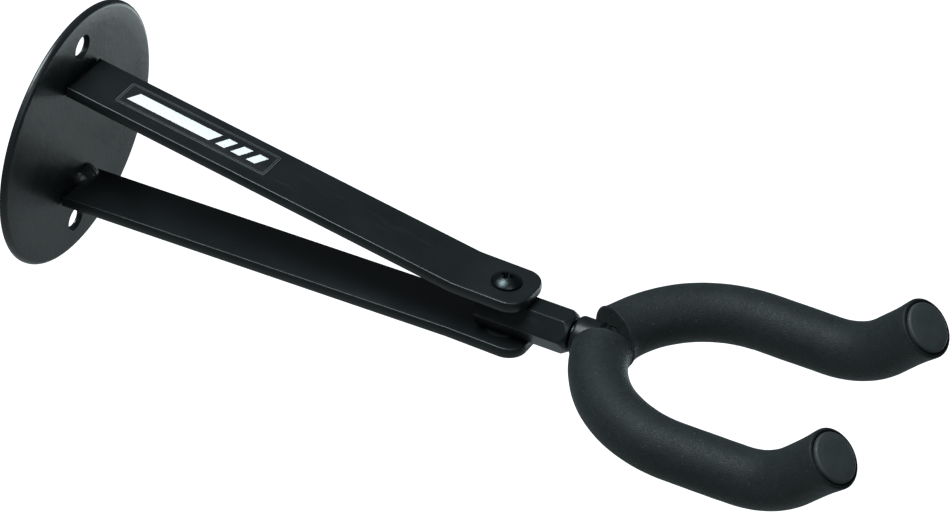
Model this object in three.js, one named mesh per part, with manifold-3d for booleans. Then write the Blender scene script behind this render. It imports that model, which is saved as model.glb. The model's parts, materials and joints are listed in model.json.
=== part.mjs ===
// Wall guitar hanger: a round wall plate, two flat arms, a swivel block and a padded yoke.
// Millimetres. +X leaves the wall, +Y runs along the wall, +Z is up.
// The origin is the middle of the plane where the plate's rim meets the wall.

import * as THREE from 'three';
import { mergeVertices } from 'three/addons/utils/BufferGeometryUtils.js';
import Module from 'manifold-3d';

const wasm = await Module();
wasm.setup();

// ---- driving dimensions ----

const DEGREE = Math.PI / 180;
const GAP = 0.1;               // air left between two pieces that touch
const SOFT_GAP = 0.3;          // the same round foam and welds

const PLATE_RADIUS = 55;
const PLATE_FACE = 2.8;        // front face, measured from the wall
const PLATE_SHEET = 2;
const PLATE_RIM = 2.2;         // radius of the turned-back rim
const HOLE_OFFSET = 41;
const HOLE_RADIUS = 4;
const SINK_RADIUS = 5.25;

const ARM_WIDTH = 25.4;
const ARM_THICKNESS = 4.5;
const ARM_BEND_X = 175.7;
const ARM_BEND_RADIUS = 14;
const ARM_CORNER = 8.2;
const ARM_HOLE = 3.3;
const UPPER_ROOT_Z = 27.35;    // middle of the bar where it meets the plate
const UPPER_TIP_Z = 3.45;
const UPPER_END_X = 205.6;
const LOWER_ROOT_Z = -25.15;
const LOWER_TIP_Z = -17.85;
const LOWER_END_X = 206.6;

const WELD_LEG = 4.6;
const WELD_LENGTH = 14;

const LABEL_LENGTH = 68.5;
const LABEL_WIDTH = 14.5;
const LABEL_THICKNESS = 0.2;
const LABEL_CORNER = 1.2;
const LABEL_X = 55.1;
const LABEL_Y = 0.8;

const PIVOT_X = 193.5;         // the clamp screw's axis
const PIVOT_Z = -7.2;          // the block's own axis
const SWIVEL_REST = 1.6 * DEGREE;
const YOKE_REST = 5 * DEGREE;

const SCREW_RADIUS = 3;
const SCREW_LENGTH = 32.2;
const HEAD_RADIUS = 6.05;
const HEAD_EDGE = 0.9;
const HEAD_HEIGHT = 3.6;
const RECESS_LENGTH = 6.4;
const RECESS_WIDTH = 1.3;
const RECESS_DEPTH = 2.3;

const WASHER_RADIUS = 6.25;
const WASHER_THICKNESS = 0.8;
const NUT_FLATS = 10;
const NUT_HEIGHT = 2.8;
const NUT_COLLAR_RADIUS = 4.7;
const NUT_COLLAR_HEIGHT = 1.2;
const INSERT_RADIUS = 4;
const FRICTION_RADIUS = 7;
const FRICTION_THICKNESS = 0.45;

const BLOCK_FLATS = 15.5;
const BLOCK_REAR = -9.5;       // block lengths are measured from the pivot
const BLOCK_FRONT = 29.8;
const BLOCK_FACE_RADIUS = 7.1;
const BLOCK_CHAMFER = 3;
const PIVOT_BORE = 3.1;
const STUD_RADIUS = 4;
const STUD_BORE = 4.1;
const STUD_END = 6.4;
const GROOVE_X = 17.5;
const GROOVE_HALF = 1.6;
const GROOVE_RADIUS = 3.1;
const GRUB_RADIUS = 2;
const DOG_RADIUS = 1.2;
const THRUST_RADIUS = 5.6;

const YOKE_X = 43.6;           // pivot to the middle of the rod's back
const HUB_REAR = -12.6;        // yoke lengths are measured from the rod's back
const HUB_FRONT = -2.6;
const HUB_RADIUS = 8.25;
const HUB_EDGE = 1.35;
const ROD_RADIUS = 4;
const BACK_RADIUS = 30;
const BACK_ANGLE = 24 * DEGREE;
const SIDE_RADIUS = 50;
const PRONG_STRAIGHT = 26.9;
const TIP_RADIUS = 33;
const TIP_ANGLE = 46 * DEGREE;
const TIP_STRAIGHT = 22.6;

const FOAM_RADIUS = 11.45;
const FOAM_BORE = 4.4;
const FOAM_NEAR_START = 3.4;   // along the rod from the middle of its back
const FOAM_NEAR_SLANT = 9 * DEGREE;
const FOAM_FAR_START = 6;
const FOAM_FAR_SLANT = 16 * DEGREE;
const FOAM_LIP = 1.6;          // how far the cap's face stands out of the foam
const CAP_RADIUS = 10.1;
const CAP_HEAD = 4.2;
const CAP_STEM_RADIUS = 6;
const CAP_STEM = 12;

// ---- materials ----

const paint = (color, roughness) => new THREE.MeshStandardMaterial({ color, roughness, metalness: 0.1 });
const blackPlate = () => paint(0x2c3132, 0.5);
const blackArm = () => paint(0x14181a, 0.45);
const blackGloss = () => paint(0x0e1112, 0.25);
const foamGrey = () => paint(0x262c2d, 0.95);
const rubberGrey = () => paint(0x2b3131, 0.7);
const vinyl = () => paint(0x0b0d0e, 0.3);
const nylon = () => paint(0xd6d4cb, 0.6);
const blackNylon = () => paint(0x1c1e1f, 0.6);
const blackSteel = () => new THREE.MeshStandardMaterial({ color: 0x16181a, roughness: 0.3, metalness: 0.8 });
const zincSteel = () => new THREE.MeshStandardMaterial({ color: 0x8d9092, roughness: 0.35, metalness: 0.9 });

// ---- solids ----

/** A closed geometry as a manifold-3d solid. */
function toSolid(geometry) {
  const bare = geometry.clone();
  bare.deleteAttribute('normal');
  bare.deleteAttribute('uv');
  const merged = mergeVertices(bare, 1e-4);
  const index = merged.index.array;
  const triangles = [];
  for (let i = 0; i < index.length; i += 3) {
    const [a, b, c] = [index[i], index[i + 1], index[i + 2]];
    if (a !== b && b !== c && c !== a) triangles.push(a, b, c);
  }
  return new wasm.Manifold(new wasm.Mesh({
    numProp: 3,
    vertProperties: new Float32Array(merged.attributes.position.array),
    triVerts: new Uint32Array(triangles),
  }));
}

/** A manifold-3d solid as a three.js geometry. */
function toGeometry(solid) {
  const mesh = solid.getMesh();
  const geometry = new THREE.BufferGeometry();
  geometry.setAttribute('position', new THREE.BufferAttribute(new Float32Array(mesh.vertProperties), 3));
  geometry.setIndex(new THREE.BufferAttribute(new Uint32Array(mesh.triVerts), 1));
  geometry.computeVertexNormals();
  return geometry;
}

/** The first geometry with the others cut away. */
function cut(geometry, ...tools) {
  return toGeometry(tools.reduce((solid, tool) => solid.subtract(toSolid(tool)), toSolid(geometry)));
}

/** What two geometries have in common. */
function common(first, second) {
  return toGeometry(toSolid(first).intersect(toSolid(second)));
}

/** A named mesh. */
function piece(name, geometry, material) {
  const mesh = new THREE.Mesh(geometry, material);
  mesh.name = name;
  return mesh;
}

// ---- turned and extruded shapes ----

const point = (radius, height) => new THREE.Vector2(radius, height);

/** Points of an arc in a profile, from one angle to another. */
function arcPoints(centreX, centreY, radius, from, to, steps) {
  return Array.from({ length: steps + 1 }, (_, i) => {
    const angle = from + (to - from) * i / steps;
    return point(centreX + radius * Math.cos(angle), centreY + radius * Math.sin(angle));
  });
}

/** A profile turned about Z: each point is (radius, z). */
const turnedZ = (points, segments) => new THREE.LatheGeometry(points, segments).rotateX(Math.PI / 2);

/** A profile turned about X: each point is (radius, x). */
const turnedX = (points, segments) => new THREE.LatheGeometry(points, segments).rotateZ(-Math.PI / 2);

/** A closed ring profile: a washer's section. */
function ringProfile(inner, outer, low, high) {
  return [point(inner, low), point(outer, low), point(outer, high), point(inner, high), point(inner, low)];
}

/** A solid round bar between two heights. */
function barProfile(radius, low, high) {
  return [point(0, low), point(radius, low), point(radius, high), point(0, high)];
}

/** A hexagon's outline, from its width across flats; its flats lie at the top and bottom. */
function hexagon(flats) {
  const corner = flats / Math.sqrt(3);
  return new THREE.Shape(Array.from({ length: 6 }, (_, i) => point(
    corner * Math.cos(i * Math.PI / 3),
    corner * Math.sin(i * Math.PI / 3),
  )));
}

/** A shape drawn in XY, raised along Z from low to high. */
function raised(shape, low, high, curveSegments = 12) {
  const geometry = new THREE.ExtrudeGeometry(shape, { depth: high - low, bevelEnabled: false, curveSegments });
  return geometry.translate(0, 0, low);
}

/** A rectangle with rounded corners, centred on the origin. */
function roundedRectangle(length, width, radius) {
  const [x, y] = [length / 2, width / 2];
  const shape = new THREE.Shape();
  shape.moveTo(-x + radius, -y).lineTo(x - radius, -y);
  shape.absarc(x - radius, -y + radius, radius, -Math.PI / 2, 0, false);
  shape.absarc(x - radius, y - radius, radius, 0, Math.PI / 2, false);
  shape.absarc(-x + radius, y - radius, radius, Math.PI / 2, Math.PI, false);
  shape.absarc(-x + radius, -y + radius, radius, Math.PI, Math.PI * 1.5, false);
  return shape;
}

// ---- wall plate ----

/** The dished sheet: its rim turns back to the wall. */
function plateProfile() {
  const back = PLATE_FACE - PLATE_SHEET;
  const rimCentre = PLATE_RADIUS - PLATE_RIM;
  const rimLow = PLATE_FACE - PLATE_RIM;
  return [
    point(0, back),
    point(rimCentre - back, back),
    point(rimCentre, 0),
    point(PLATE_RADIUS - rimLow, 0),
    ...arcPoints(rimCentre, rimLow, PLATE_RIM, 0, Math.PI / 2, 6),
    point(0, PLATE_FACE),
  ];
}

/** The drill and countersink of one screw hole. */
function holeTool(height) {
  const sinkDepth = SINK_RADIUS - HOLE_RADIUS;
  const tool = turnedX([
    point(0, -1),
    point(HOLE_RADIUS, -1),
    point(HOLE_RADIUS, PLATE_FACE - sinkDepth),
    point(SINK_RADIUS + 1, PLATE_FACE + 1),
    point(0, PLATE_FACE + 1),
  ], 40);
  return tool.translate(0, 0, height);
}

function wallPlate() {
  const disc = turnedX(plateProfile(), 96);
  return piece('wall_plate', cut(disc, holeTool(HOLE_OFFSET), holeTool(-HOLE_OFFSET)), blackPlate());
}

// ---- arms ----

/** How steeply an arm runs from its root to its bend. */
const armSlope = (rootZ, tipZ) => Math.atan2(tipZ - rootZ, ARM_BEND_X - PLATE_FACE);

/** One edge of the bar's side view, offset from its middle line. */
function armEdge(rootZ, tipZ, endX, offset) {
  const slope = armSlope(rootZ, tipZ);
  const side = Math.sign(slope);
  const reach = ARM_BEND_RADIUS * Math.tan(Math.abs(slope) / 2);
  const centre = point(ARM_BEND_X + reach, tipZ - side * ARM_BEND_RADIUS);
  const steps = 5;
  const bend = Array.from({ length: steps + 1 }, (_, i) => {
    const angle = slope * (1 - i / steps);
    const radius = ARM_BEND_RADIUS + side * offset;
    return point(centre.x - side * radius * Math.sin(angle), centre.y + side * radius * Math.cos(angle));
  });
  const rootX = PLATE_FACE + GAP;
  const start = point(rootX, rootZ + (rootX - PLATE_FACE) * Math.tan(slope) + offset / Math.cos(slope));
  return [start, ...bend, point(endX, tipZ + offset)];
}

/** The arm's outline from above: square at the root, rounded at the tip. */
function armPlan(endX) {
  const half = ARM_WIDTH / 2;
  const shape = new THREE.Shape();
  shape.moveTo(0, -half).lineTo(endX - ARM_CORNER, -half);
  shape.absarc(endX - ARM_CORNER, -half + ARM_CORNER, ARM_CORNER, -Math.PI / 2, 0, false);
  shape.absarc(endX - ARM_CORNER, half - ARM_CORNER, ARM_CORNER, 0, Math.PI / 2, false);
  shape.lineTo(0, half);
  return shape;
}

function arm(name, rootZ, tipZ, endX) {
  const top = armEdge(rootZ, tipZ, endX, ARM_THICKNESS / 2);
  const bottom = armEdge(rootZ, tipZ, endX, -ARM_THICKNESS / 2);
  const sideView = new THREE.Shape([...bottom, ...top.reverse()]);
  const bar = raised(sideView, -ARM_WIDTH / 2 - 1, ARM_WIDTH / 2 + 1).rotateX(Math.PI / 2);
  const trimmed = common(bar, raised(armPlan(endX), -PLATE_RADIUS, PLATE_RADIUS, 10));
  const drill = turnedZ(barProfile(ARM_HOLE, -PLATE_RADIUS, PLATE_RADIUS), 32).translate(PIVOT_X, 0, 0);
  return piece(name, cut(trimmed, drill), blackArm());
}

/** A fillet bead in the corner between the plate and an arm's inner face. */
function armWeld(name, rootZ, tipZ, side, middleY) {
  const slope = armSlope(rootZ, tipZ);
  const x = PLATE_FACE + GAP;
  const face = rootZ + side * (ARM_THICKNESS / 2 / Math.cos(slope) + GAP);
  const faceAt = (out) => face + out * Math.tan(slope);
  const bead = new THREE.Shape();
  bead.moveTo(x, face).lineTo(x + WELD_LEG, faceAt(WELD_LEG));
  bead.quadraticCurveTo(x + WELD_LEG * 0.9, face + side * WELD_LEG * 0.9, x, face + side * WELD_LEG);
  const geometry = raised(bead, -WELD_LENGTH / 2, WELD_LENGTH / 2, 6).rotateX(Math.PI / 2);
  return piece(name, geometry.translate(0, middleY, 0), blackArm());
}

/** The blank sticker on the upper arm's sloping top. */
function blankLabel() {
  const slope = armSlope(UPPER_ROOT_Z, UPPER_TIP_Z);
  const geometry = raised(roundedRectangle(LABEL_LENGTH, LABEL_WIDTH, LABEL_CORNER), 0, LABEL_THICKNESS, 4);
  const label = piece('blank_label', geometry, vinyl());
  const middle = UPPER_ROOT_Z + (LABEL_X - PLATE_FACE) * Math.tan(slope);
  label.position.set(LABEL_X, LABEL_Y, middle + (ARM_THICKNESS / 2 + GAP) / Math.cos(slope));
  label.rotation.y = -slope;
  return label;
}

// ---- clamp: screw, washers and nut ----

const HEAD_SEAT = UPPER_TIP_Z + ARM_THICKNESS / 2 + GAP;
const CLAMP_UNDERSIDE = LOWER_TIP_Z - ARM_THICKNESS / 2;

/** A pan head on a plain shank, seen as a half section. */
function screwProfile() {
  const end = HEAD_SEAT - SCREW_LENGTH;
  const rise = HEAD_HEIGHT - HEAD_EDGE;
  const domeRadius = (HEAD_RADIUS ** 2 + rise ** 2) / (2 * rise);
  const domeCentre = HEAD_SEAT + HEAD_HEIGHT - domeRadius;
  const rimAngle = Math.asin((HEAD_SEAT + HEAD_EDGE - domeCentre) / domeRadius);
  return [
    point(0, end),
    point(SCREW_RADIUS - 0.6, end),
    point(SCREW_RADIUS, end + 0.6),
    point(SCREW_RADIUS, HEAD_SEAT),
    point(HEAD_RADIUS, HEAD_SEAT),
    ...arcPoints(0, domeCentre, domeRadius, rimAngle, Math.PI / 2, 6).slice(0, -1),
    point(0, HEAD_SEAT + HEAD_HEIGHT),
  ];
}

function clampScrew() {
  const top = HEAD_SEAT + HEAD_HEIGHT;
  const wing = new THREE.BoxGeometry(RECESS_LENGTH, RECESS_WIDTH, RECESS_DEPTH * 2).translate(0, 0, top);
  const recess = [wing, wing.clone().rotateZ(Math.PI / 2)];
  return piece('clamp_screw', cut(turnedZ(screwProfile(), 40), ...recess), blackSteel());
}

function clampWasher() {
  const top = CLAMP_UNDERSIDE - GAP;
  const ring = turnedZ(ringProfile(SCREW_RADIUS + 0.2, WASHER_RADIUS, top - WASHER_THICKNESS, top), 36);
  return piece('clamp_washer', ring, zincSteel());
}

const NUT_TOP = CLAMP_UNDERSIDE - WASHER_THICKNESS - 2 * GAP;

function clampNut() {
  const low = NUT_TOP - NUT_HEIGHT;
  const end = low - NUT_COLLAR_HEIGHT;
  const hex = toSolid(raised(hexagon(NUT_FLATS), low, NUT_TOP));
  const collar = toSolid(turnedZ(barProfile(NUT_COLLAR_RADIUS, end, low + 0.5), 32));
  const bore = turnedZ(barProfile(SCREW_RADIUS + GAP, end - 1, NUT_TOP + 1), 32);
  const seat = turnedZ(barProfile(INSERT_RADIUS, end - 1, low), 32);
  return piece('clamp_nut', cut(toGeometry(hex.add(collar)), bore, seat), zincSteel());
}

function nutInsert() {
  const high = NUT_TOP - NUT_HEIGHT - GAP;
  const low = high - NUT_COLLAR_HEIGHT + 3 * GAP;
  return piece('nut_insert', turnedZ(ringProfile(SCREW_RADIUS + GAP, INSERT_RADIUS - GAP, low, high), 32), nylon());
}

function frictionWasher(name, side) {
  const near = PIVOT_Z + side * (BLOCK_FLATS / 2 + GAP);
  const far = near + side * FRICTION_THICKNESS;
  const profile = ringProfile(SCREW_RADIUS + GAP, FRICTION_RADIUS, Math.min(near, far), Math.max(near, far));
  return piece(name, turnedZ(profile, 36), blackNylon());
}

/** Everything on the clamp screw's axis. */
function clamp() {
  const group = new THREE.Group();
  group.position.x = PIVOT_X;
  group.add(clampScrew(), clampWasher(), clampNut(), nutInsert());
  group.add(frictionWasher('upper_friction_washer', 1), frictionWasher('lower_friction_washer', -1));
  return group;
}

// ---- swivel block, measured from the pivot along its own axis ----

/** The hexagonal bar, turned to a chamfer at its front and eased at its rear. */
function blockBody() {
  const bar = raised(hexagon(BLOCK_FLATS), BLOCK_REAR, BLOCK_FRONT).rotateZ(Math.PI / 2).rotateY(Math.PI / 2);
  const corner = BLOCK_FLATS / Math.sqrt(3);
  const envelope = turnedX([
    point(0, BLOCK_REAR),
    point(BLOCK_FLATS / 2, BLOCK_REAR),
    point(corner + GAP, BLOCK_REAR + 0.8),
    point(corner + GAP, BLOCK_FRONT - BLOCK_CHAMFER),
    point(BLOCK_FACE_RADIUS, BLOCK_FRONT),
    point(0, BLOCK_FRONT),
  ], 48);
  return common(bar, envelope);
}

function swivelBlock() {
  const bolt = turnedZ(barProfile(PIVOT_BORE, -BLOCK_FLATS, BLOCK_FLATS), 40);
  const bore = turnedX(barProfile(STUD_BORE, STUD_END - 0.6, BLOCK_FRONT + 1), 48);
  const grub = turnedZ(barProfile(GRUB_RADIUS + GAP, -BLOCK_FLATS, 0), 24).translate(GROOVE_X, 0, 0);
  return piece('swivel_block', cut(blockBody(), bolt, bore, grub), blackGloss());
}

/** The grub screw whose dog point runs in the stud's groove. */
function retainingScrew() {
  const seat = -BLOCK_FLATS / 2 + GAP;
  const shoulder = -STUD_BORE - GAP;
  const body = turnedZ([
    point(0, seat),
    point(GRUB_RADIUS, seat),
    point(GRUB_RADIUS, shoulder),
    point(DOG_RADIUS, shoulder),
    point(DOG_RADIUS, -GROOVE_RADIUS - 0.2),
    point(0, -GROOVE_RADIUS - 0.2),
  ], 24);
  const socket = raised(hexagon(2), seat - 1, seat + 1.4);
  return piece('retaining_screw', cut(body, socket).translate(GROOVE_X, 0, 0), blackSteel());
}

function thrustWasher() {
  const profile = ringProfile(STUD_BORE, THRUST_RADIUS, BLOCK_FRONT + GAP, YOKE_X + HUB_REAR - GAP);
  return piece('thrust_washer', turnedX(profile, 40), blackSteel());
}

// ---- yoke, measured from the middle of the rod's back ----

const SIDE_ANGLE = Math.PI / 2 - BACK_ANGLE;
const PRONG_STRETCHES = [
  BACK_RADIUS * BACK_ANGLE,
  SIDE_RADIUS * SIDE_ANGLE,
  PRONG_STRAIGHT,
  TIP_RADIUS * TIP_ANGLE,
  TIP_STRAIGHT,
];
const PRONG_LENGTH = PRONG_STRETCHES.reduce((sum, stretch) => sum + stretch, 0);

/** How much of each stretch of the prong lies before a distance along it. */
function usedStretches(distance) {
  let left = distance;
  return PRONG_STRETCHES.map((stretch) => {
    const used = Math.min(Math.max(left, 0), stretch);
    left -= stretch;
    return used;
  });
}

/** The middle line of the far prong, at a distance from the middle of the back. */
function prongPoint(distance) {
  const [back, side, straight, tip, end] = usedStretches(distance);
  const backTurn = back / BACK_RADIUS;
  const turn = backTurn + side / SIDE_RADIUS;
  const lift = tip / TIP_RADIUS;
  const sideX = Math.cos(backTurn) - Math.cos(turn);
  const sideY = Math.sin(turn) - Math.sin(backTurn);
  return new THREE.Vector3(
    BACK_RADIUS * (1 - Math.cos(backTurn)) + SIDE_RADIUS * sideX + straight
      + TIP_RADIUS * Math.sin(lift) + end * Math.cos(TIP_ANGLE),
    BACK_RADIUS * Math.sin(backTurn) + SIDE_RADIUS * sideY,
    TIP_RADIUS * (1 - Math.cos(lift)) + end * Math.sin(TIP_ANGLE),
  );
}

/** The yoke's middle line between two distances; negative distances are the near prong. */
class YokeLine extends THREE.Curve {
  constructor(from, to) {
    super();
    this.from = from;
    this.to = to;
  }

  getPoint(t, target = new THREE.Vector3()) {
    const distance = this.from + (this.to - this.from) * t;
    target.copy(prongPoint(Math.abs(distance)));
    if (distance < 0) target.y = -target.y;
    return target;
  }
}

/** A round section, hollow if it is given a bore. */
function roundSection(radius, bore = 0) {
  const shape = new THREE.Shape().absarc(0, 0, radius, 0, Math.PI * 2, false);
  if (bore > 0) shape.holes.push(new THREE.Path().absarc(0, 0, bore, 0, Math.PI * 2, true));
  return shape;
}

/** A section carried along the yoke's middle line. */
function alongYoke(section, from, to, steps, curveSegments) {
  return new THREE.ExtrudeGeometry(section, { extrudePath: new YokeLine(from, to), steps, curveSegments });
}

/** The collar and its grooved stud, without the seat for the rod. */
function hubProfile(grow = 0) {
  const end = STUD_END - YOKE_X;
  const groove = GROOVE_X - YOKE_X;
  const edge = HUB_RADIUS + grow - HUB_EDGE;
  return [
    point(0, end),
    point(STUD_RADIUS - 0.6, end),
    point(STUD_RADIUS, end + 0.6),
    point(STUD_RADIUS, groove - GROOVE_HALF),
    point(GROOVE_RADIUS, groove - GROOVE_HALF),
    point(GROOVE_RADIUS, groove + GROOVE_HALF),
    point(STUD_RADIUS, groove + GROOVE_HALF),
    point(STUD_RADIUS, HUB_REAR - grow),
    ...arcPoints(edge, HUB_REAR - grow + HUB_EDGE, HUB_EDGE, -Math.PI / 2, 0, 4),
    point(HUB_RADIUS + grow, HUB_FRONT + grow),
    point(0, HUB_FRONT + grow),
  ];
}

function yokeHub() {
  const seat = alongYoke(roundSection(ROD_RADIUS + GAP), -16, 16, 8, 12);
  return piece('yoke_hub', cut(turnedX(hubProfile(), 48), seat), blackGloss());
}

const ROD_END = PRONG_LENGTH - CAP_HEAD - 1.2;

function yokeRod() {
  return piece('yoke_rod', alongYoke(roundSection(ROD_RADIUS), -ROD_END, ROD_END, 64, 8), blackGloss());
}

/** A bead in the corner between the hub's front and the rod. */
function hubWeld(name, side) {
  const bead = new THREE.CapsuleGeometry(2.1, 2.8, 4, 16).translate(-1.4, 1.4, side * 4.4);
  const hub = turnedX(hubProfile(GAP), 48);
  const rod = alongYoke(roundSection(ROD_RADIUS + GAP), -16, 16, 8, 12);
  return piece(name, cut(bead, hub, rod), blackGloss());
}

/** A frame at the end of a prong, with +Z leaving it. */
function prongEnd(side) {
  const end = prongPoint(PRONG_LENGTH);
  return new THREE.Matrix4()
    .makeRotationY(Math.PI / 2 - TIP_ANGLE)
    .setPosition(end.x, side * end.y, end.z);
}

/** A block that fills everything before a slanted cut across a prong. */
function beforeCut(side, start, slant) {
  const turn = start / BACK_RADIUS + slant;
  const middle = prongPoint(start);
  return new THREE.BoxGeometry(60, 30, 60)
    .translate(0, -15, 0)
    .rotateZ(side > 0 ? -turn : Math.PI + turn)
    .translate(middle.x, side * middle.y, 0);
}

/** The room that a cap's head and stem take up, with some air round them. */
function capRoom(side) {
  const under = -CAP_HEAD - SOFT_GAP;
  const room = turnedZ([
    point(0, under - CAP_STEM),
    point(CAP_STEM_RADIUS + SOFT_GAP, under - CAP_STEM),
    point(CAP_STEM_RADIUS + SOFT_GAP, under),
    point(CAP_RADIUS + SOFT_GAP, under),
    point(CAP_RADIUS + SOFT_GAP, 1),
    point(0, 1),
  ], 36);
  return room.applyMatrix4(prongEnd(side));
}

/** A foam sleeve, cut on the slant, sunk round its cap and notched round the hub. */
function foamSleeve(name, side, start, slant) {
  const end = PRONG_LENGTH - FOAM_LIP;
  const section = roundSection(FOAM_RADIUS, FOAM_BORE);
  const [from, to] = side > 0 ? [start - 9, end] : [-end, 9 - start];
  const sleeve = alongYoke(section, from, to, 36, 10);
  const hub = turnedX(barProfile(HUB_RADIUS + SOFT_GAP, HUB_REAR - 1, HUB_FRONT + SOFT_GAP), 40);
  return piece(name, cut(sleeve, beforeCut(side, start, slant), capRoom(side), hub), foamGrey());
}

/** A rubber cap: a domed head and a stem pushed over the rod. */
function capProfile() {
  const under = -CAP_HEAD;
  const stemEnd = under - CAP_STEM;
  const bore = ROD_RADIUS + SOFT_GAP;
  return [
    point(0, under - 1),
    point(bore, under - 1),
    point(bore, stemEnd),
    point(CAP_STEM_RADIUS, stemEnd),
    point(CAP_STEM_RADIUS, under),
    point(CAP_RADIUS - 0.7, under),
    point(CAP_RADIUS, under + 0.7),
    ...arcPoints(CAP_RADIUS - 1.8, -2.1, 1.8, 0, Math.PI / 2, 5),
    point(0, 0),
  ];
}

function endCap(name, side) {
  return piece(name, turnedZ(capProfile(), 40).applyMatrix4(prongEnd(side)), rubberGrey());
}

// ---- assembly ----

function bracket() {
  const group = new THREE.Group();
  group.add(wallPlate());
  group.add(arm('upper_arm', UPPER_ROOT_Z, UPPER_TIP_Z, UPPER_END_X));
  group.add(arm('lower_arm', LOWER_ROOT_Z, LOWER_TIP_Z, LOWER_END_X));
  group.add(armWeld('upper_arm_weld', UPPER_ROOT_Z, UPPER_TIP_Z, -1, 0));
  group.add(armWeld('lower_arm_weld', LOWER_ROOT_Z, LOWER_TIP_Z, 1, 4.5));
  group.add(blankLabel(), clamp());
  return group;
}

function yoke() {
  const group = new THREE.Group();
  group.position.x = YOKE_X;
  group.rotation.x = YOKE_REST;
  group.add(yokeHub(), yokeRod());
  group.add(hubWeld('upper_hub_weld', 1), hubWeld('lower_hub_weld', -1));
  group.add(foamSleeve('foam_far', 1, FOAM_FAR_START, FOAM_FAR_SLANT));
  group.add(foamSleeve('foam_near', -1, FOAM_NEAR_START, FOAM_NEAR_SLANT));
  group.add(endCap('cap_far', 1), endCap('cap_near', -1));
  return group;
}

function block() {
  const group = new THREE.Group();
  group.position.set(PIVOT_X, 0, PIVOT_Z);
  group.rotation.z = SWIVEL_REST;
  group.add(swivelBlock(), retainingScrew(), thrustWasher(), yoke());
  return group;
}

const hanger = new THREE.Group();
hanger.name = 'wall_guitar_hanger';
hanger.add(bracket(), block());

export default hanger;
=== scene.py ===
import json
import math

import bmesh
import bpy
from mathutils import Matrix, Vector, noise


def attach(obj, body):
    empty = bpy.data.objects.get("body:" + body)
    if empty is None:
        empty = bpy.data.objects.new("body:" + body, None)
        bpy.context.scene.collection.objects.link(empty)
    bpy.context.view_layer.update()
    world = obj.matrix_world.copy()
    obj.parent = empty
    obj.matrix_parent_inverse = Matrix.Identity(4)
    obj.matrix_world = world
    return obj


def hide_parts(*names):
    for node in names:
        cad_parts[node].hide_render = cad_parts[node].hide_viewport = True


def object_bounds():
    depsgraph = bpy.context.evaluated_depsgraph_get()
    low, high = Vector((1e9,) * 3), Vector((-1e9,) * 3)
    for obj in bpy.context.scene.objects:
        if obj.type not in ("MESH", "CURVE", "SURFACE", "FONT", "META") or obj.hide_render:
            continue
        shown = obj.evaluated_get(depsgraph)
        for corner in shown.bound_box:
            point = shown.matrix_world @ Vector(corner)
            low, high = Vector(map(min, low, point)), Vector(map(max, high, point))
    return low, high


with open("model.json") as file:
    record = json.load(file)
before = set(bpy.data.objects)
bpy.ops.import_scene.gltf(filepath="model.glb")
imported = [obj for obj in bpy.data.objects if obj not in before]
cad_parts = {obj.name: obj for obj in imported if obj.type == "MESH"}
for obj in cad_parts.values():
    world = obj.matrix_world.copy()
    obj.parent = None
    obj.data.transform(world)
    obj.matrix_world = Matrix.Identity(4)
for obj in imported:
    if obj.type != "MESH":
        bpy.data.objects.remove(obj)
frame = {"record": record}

cad_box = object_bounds()

# Wall guitar hanger. Shapes are drawn in millimetres in three places: the bracket (the row
# frame), the block (its own axis) and the yoke (the middle of its rod's back).

MM = 0.001
TAU = 2 * math.pi

# ---- sizes, in millimetres ----

PLATE_RADIUS = 55.0
PLATE_FACE = 2.8
PLATE_BACK = 0.8
HOLE_OFFSET = 41.0
HOLE_RADIUS = 4.0
SINK_RADIUS = 5.25

ARM_WIDTH = 25.4
ARM_THICKNESS = 4.5
ARM_CORNER = 8.2
ARM_BEND_X = 175.7
ARM_BEND_RADIUS = 14.0
ARM_HOLE = 3.3
UPPER_ARM = {"root": 27.35, "tip": 3.45, "end": 205.6}
LOWER_ARM = {"root": -25.15, "tip": -17.85, "end": 206.6}

LABEL_LENGTH = 68.5
LABEL_WIDTH = 14.5
LABEL_X = 55.1
LABEL_Y = 0.8

BLOCK_FLATS = 15.5
BLOCK_REAR = -9.5
BLOCK_FRONT = 29.8
BLOCK_FACE_RADIUS = 7.1
STUD_RADIUS = 4.0
STUD_BORE = 4.1
STUD_END = 6.4
GROOVE_X = 17.5
THRUST_RADIUS = 5.6

YOKE_X = 43.6
YOKE_REST = math.radians(5)
HUB_REAR = -12.6
HUB_FRONT = -2.6
HUB_RADIUS = 8.25
ROD_RADIUS = 4.0
BACK_RADIUS = 30.0
BACK_ANGLE = math.radians(24)
SIDE_RADIUS = 50.0
PRONG_STRAIGHT = 26.9
TIP_RADIUS = 33.0
TIP_ANGLE = math.radians(46)
TIP_STRAIGHT = 22.6
FOAM_RADIUS = 11.45
FOAM_NEAR_START = 3.4
FOAM_NEAR_SLANT = math.radians(9)
FOAM_FAR_START = 6.0
FOAM_FAR_SLANT = math.radians(16)
FOAM_LIP = 1.6
FOAM_LIP_EDGE = 1.1
CAP_SWELL = 0.6
CAP_SWELL_LENGTH = 6.5
CUT_FLARE_LENGTH = 3.2
CUT_SETTLE = 15.0
CUT_EDGE = 0.45
CUT_CLEARANCE = 0.25
CAP_RADIUS = 10.1
CAP_HEAD = 4.2

# ---- places ----

JOINTS = {joint["name"]: joint for joint in frame["record"]["behaviour"]["joints"]}
PIVOT = Vector(JOINTS["block_swivel"]["pos_m"])
STUD_AXIS = Vector(JOINTS["yoke_turn"]["axis"])
YAW = math.atan2(STUD_AXIS.y, STUD_AXIS.x)

BRACKET_PLACE = Matrix.Identity(4)
CLAMP_PLACE = Matrix.Translation((PIVOT.x, 0, 0))
BLOCK_PLACE = Matrix.Translation(PIVOT) @ Matrix.Rotation(YAW, 4, "Z")
YOKE_PLACE = BLOCK_PLACE @ Matrix.Translation((YOKE_X * MM, 0, 0)) @ Matrix.Rotation(YOKE_REST, 4, "X")

# ---- outlines ----


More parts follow.
